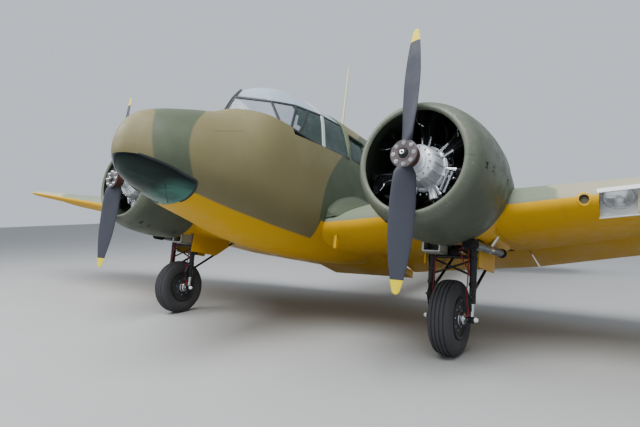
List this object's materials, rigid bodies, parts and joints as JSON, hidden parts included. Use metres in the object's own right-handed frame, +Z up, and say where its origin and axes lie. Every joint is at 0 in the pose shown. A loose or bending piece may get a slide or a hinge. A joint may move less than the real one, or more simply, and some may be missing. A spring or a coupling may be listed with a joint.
{
  "type": "twin-engine trainer aircraft",
  "caption": "Low-wing wooden trainer aeroplane with radial engines, glazed cabin, tail wheel, turning propellers and wheels, and hinged control surfaces.",
  "frame": {"origin": "on the ground, under the middle of the whole aeroplane's box, standing on its wheels", "axes": "+X to port (the pilot's left), +Y aft, +Z up; the nose points to -Y and stands 13 degrees up"},
  "size_m": [16.256, 10.589, 3.8172],
  "materials": {
    "earth_paint": "matt dark earth paint",
    "green_paint": "matt dark green paint",
    "yellow_paint": "satin golden yellow paint",
    "black_paint": "satin black enamel",
    "bare_steel": "polished and dull bare metal",
    "tyre_rubber": "matt black rubber",
    "canopy_glass": "clear",
    "dark_glass": "clear, with the dark nose behind it",
    "propeller_paint": "satin blue-grey paint with yellow tips",
    "exhaust_metal": "heat-dulled grey metal",
    "cabin_paint": "satin grey-green paint",
    "seat_leather": "worn dark brown leather"
  },
  "bodies": {
    "airframe": {"nose_shell": "earth_paint", "chin_window": "dark_glass", "cabin_shell": "earth_paint", "canopy_frame": "green_paint", "canopy_glass": "canopy_glass", "rear_shell": "green_paint", "cabin_window_left": "canopy_glass", "cabin_window_right": "canopy_glass", "tail_cone": "green_paint", "aerial_mast": "earth_paint", "cabin_floor": "cabin_paint", "rear_floor": "cabin_paint", "instrument_panel": "black_paint", "seat_left": "seat_leather", "seat_right": "seat_leather", "control_columns": "black_paint", "wing_centre_left": "yellow_paint", "wing_centre_right": "yellow_paint", "wing_outer_left": "yellow_paint", "wing_outer_right": "yellow_paint", "landing_lamps": "bare_steel", "lamp_cover": "canopy_glass", "nacelle_left": "green_paint", "nacelle_right": "green_paint", "cowl_left": "green_paint", "cowl_right": "green_paint", "engine_left": "bare_steel", "engine_right": "bare_steel", "exhaust_left": "exhaust_metal", "exhaust_right": "exhaust_metal", "gear_legs_left": "black_paint", "gear_legs_right": "black_paint", "gear_door_outer_left": "yellow_paint", "gear_door_outer_right": "yellow_paint", "gear_door_inner_left": "yellow_paint", "gear_door_inner_right": "yellow_paint", "tailplane_left": "green_paint", "tailplane_right": "green_paint", "fin": "green_paint"},
    "propeller_left": {"propeller_left": "propeller_paint"},
    "propeller_right": {"propeller_right": "propeller_paint"},
    "wheel_left": {"wheel_left": "bare_steel", "tyre_left": "tyre_rubber"},
    "wheel_right": {"wheel_right": "bare_steel", "tyre_right": "tyre_rubber"},
    "tail_fork": {"tail_fork": "black_paint"},
    "tail_wheel": {"tail_wheel": "bare_steel", "tail_tyre": "tyre_rubber"},
    "elevator": {"elevator_left": "green_paint", "elevator_right": "green_paint"},
    "rudder": {"rudder": "green_paint"},
    "aileron_left": {"aileron_left": "yellow_paint"},
    "aileron_right": {"aileron_right": "yellow_paint"},
    "flap_centre": {"flap_centre": "yellow_paint"},
    "flap_inner_left": {"flap_inner_left": "yellow_paint"},
    "flap_inner_right": {"flap_inner_right": "yellow_paint"},
    "flap_outer_left": {"flap_outer_left": "yellow_paint"},
    "flap_outer_right": {"flap_outer_right": "yellow_paint"},
    "entry_door": {"entry_door": "green_paint"}
  },
  "joints": [
    {"name": "propeller_left_turn", "type": "hinge", "parent": "airframe", "child": "propeller_left", "pos_m": [2.167, -3.92653, 2.01889], "axis": [0, 0.9744, -0.225], "continuous": true},
    {"name": "propeller_right_turn", "type": "hinge", "parent": "airframe", "child": "propeller_right", "pos_m": [-2.167, -3.92653, 2.01889], "axis": [0, 0.9744, -0.225], "continuous": true},
    {"name": "wheel_left_turn", "type": "hinge", "parent": "airframe", "child": "wheel_left", "pos_m": [2.167, -2.88753, 0.39351], "axis": [1, 0, 0], "continuous": true},
    {"name": "wheel_right_turn", "type": "hinge", "parent": "airframe", "child": "wheel_right", "pos_m": [-2.167, -2.88753, 0.39351], "axis": [1, 0, 0], "continuous": true},
    {"name": "tail_castor", "type": "hinge", "parent": "airframe", "child": "tail_fork", "pos_m": [0, 3.67156, 0.14712], "axis": [0, 0, 1], "continuous": true},
    {"name": "tail_wheel_turn", "type": "hinge", "parent": "tail_fork", "child": "tail_wheel", "pos_m": [0, 3.72656, 0.14712], "axis": [1, 0, 0], "continuous": true},
    {"name": "elevator_hinge", "type": "hinge", "parent": "airframe", "child": "elevator", "pos_m": [0, 3.80059, 0.91231], "axis": [1, 0, 0], "range_deg": [-20, 25]},
    {"name": "rudder_hinge", "type": "hinge", "parent": "airframe", "child": "rudder", "pos_m": [0, 4.44337, 0.75365], "axis": [0, 0.225, 0.9744], "range_deg": [-25, 25]},
    {"name": "aileron_left_hinge", "type": "hinge", "parent": "airframe", "child": "aileron_left", "pos_m": [6.32, -1.41962, 1.63112], "axis": [0.9852, -0.0918, 0.1444], "range_deg": [-20, 20]},
    {"name": "aileron_right_hinge", "type": "hinge", "parent": "airframe", "child": "aileron_right", "pos_m": [-6.32, -1.41962, 1.63112], "axis": [0.9852, 0.0918, -0.1444], "range_deg": [-20, 20]},
    {"name": "flap_centre_hinge", "type": "hinge", "parent": "airframe", "child": "flap_centre", "pos_m": [0, -1.12588, 0.64466], "axis": [1, 0, 0], "range_deg": [-46, 12]},
    {"name": "flap_inner_left_hinge", "type": "hinge", "parent": "airframe", "child": "flap_inner_left", "pos_m": [1.6675, -1.14603, 0.88557], "axis": [0.9957, -0.0004, 0.0924], "range_deg": [-46, 12]},
    {"name": "flap_inner_right_hinge", "type": "hinge", "parent": "airframe", "child": "flap_inner_right", "pos_m": [-1.6675, -1.14603, 0.88557], "axis": [0.9957, 0.0004, -0.0924], "range_deg": [-46, 12]},
    {"name": "flap_outer_left_hinge", "type": "hinge", "parent": "airframe", "child": "flap_outer_left", "pos_m": [3.875, -1.25047, 1.18683], "axis": [0.9827, -0.0815, 0.1665], "range_deg": [-46, 12]},
    {"name": "flap_outer_right_hinge", "type": "hinge", "parent": "airframe", "child": "flap_outer_right", "pos_m": [-3.875, -1.25047, 1.18683], "axis": [0.9827, 0.0815, -0.1665], "range_deg": [-46, 12]},
    {"name": "entry_door_hinge", "type": "hinge", "parent": "airframe", "child": "entry_door", "pos_m": [-0.6476, -0.17158, 1.40857], "axis": [0, 0.225, 0.9744], "range_deg": [0, 95]}
  ],
  "couplings": [
    {"joint": "aileron_right_hinge", "follows": "aileron_left_hinge", "ratio": -1},
    {"joint": "flap_inner_left_hinge", "follows": "flap_centre_hinge", "ratio": 1},
    {"joint": "flap_inner_right_hinge", "follows": "flap_centre_hinge", "ratio": 1},
    {"joint": "flap_outer_left_hinge", "follows": "flap_centre_hinge", "ratio": 1},
    {"joint": "flap_outer_right_hinge", "follows": "flap_centre_hinge", "ratio": 1}
  ]
}
